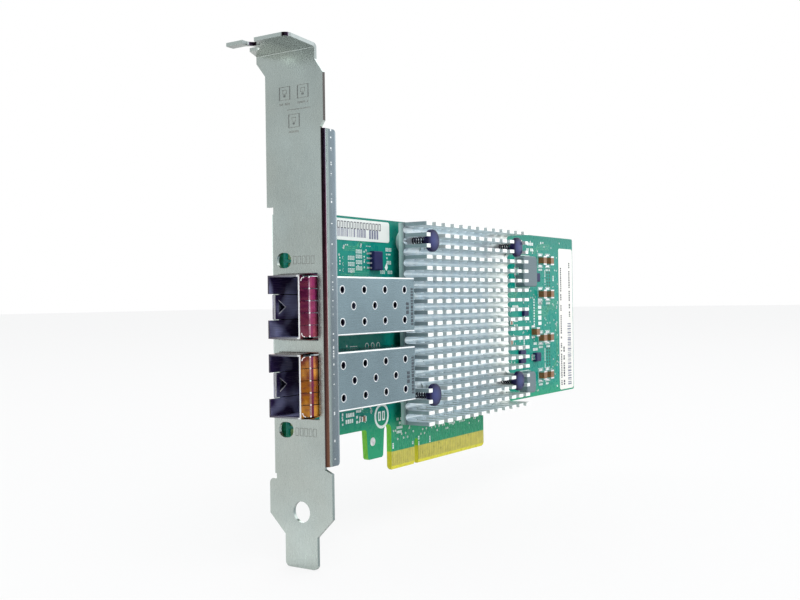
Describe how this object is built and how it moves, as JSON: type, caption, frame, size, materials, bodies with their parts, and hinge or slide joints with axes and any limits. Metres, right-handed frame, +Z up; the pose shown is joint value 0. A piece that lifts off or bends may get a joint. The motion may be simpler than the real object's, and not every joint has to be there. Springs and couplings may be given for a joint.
{
  "type": "network interface card",
  "caption": "Expansion card with a tall steel slot bracket, optical-module port cages side by side, and a large cut-fin heat sink on push pins.",
  "frame": {"origin": "centre line of the key notch, on the lower edge of the connector tongue, half way through the board", "axes": "+X along the board away from the bracket, +Y out of the solder side, +Z up away from the slot"},
  "size_m": [0.1808, 0.0208, 0.1209],
  "materials": {
    "bracket_steel": "satin zinc-plated sheet",
    "screw_steel": "bright plated",
    "board_laminate": "green solder mask over copper tracks",
    "contact_gold": "gold plated",
    "cage_nickel": "nickel-plated sheet",
    "collar_spring": "bright plated copper alloy",
    "sink_aluminium": "satin, machined",
    "pin_plastic": "dark moulded",
    "spring_wire": "dark drawn wire",
    "chip_black": "moulded",
    "socket_black": "moulded",
    "lead_tin": "tin plated",
    "substrate_green": "laminate",
    "lid_nickel": "nickel plated",
    "pad_grey": "soft filled silicone",
    "inductor_grey": "pressed iron powder",
    "capacitor_brown": "bare ceramic",
    "label_white": "printed film",
    "lamp_clear": "clear moulded"
  },
  "bodies": {
    "root": {"bracket": "bracket_steel", "bracket_screws": "screw_steel", "circuit_board": "board_laminate", "edge_contacts_front": "contact_gold", "edge_contacts_rear": "contact_gold", "controller_base": "substrate_green", "controller_lid": "lid_nickel", "thermal_pad": "pad_grey", "heat_sink": "sink_aluminium", "push_pins": "pin_plastic", "push_pin_springs": "spring_wire", "memory_chip": "chip_black", "memory_chip_leads": "lead_tin", "diodes": "chip_black", "diode_leads": "lead_tin", "regulator_chips": "chip_black", "regulator_leads": "lead_tin", "link_lamps": "lamp_clear", "rear_capacitors": "capacitor_brown", "rear_capacitor_ends": "lead_tin", "near_label": "label_white", "far_label": "label_white", "large_inductor": "inductor_grey", "large_inductor_terminals": "lead_tin", "small_inductor": "inductor_grey", "small_inductor_terminals": "lead_tin", "ceramic_capacitors": "capacitor_brown", "ceramic_capacitor_ends": "lead_tin", "small_capacitors": "capacitor_brown", "small_capacitor_ends": "lead_tin", "lower_port_cage": "cage_nickel", "lower_cage_springs": "collar_spring", "lower_socket": "socket_black", "lower_socket_contacts": "contact_gold", "upper_port_cage": "cage_nickel", "upper_cage_springs": "collar_spring", "upper_socket": "socket_black", "upper_socket_contacts": "contact_gold"}
  },
  "joints": []
}
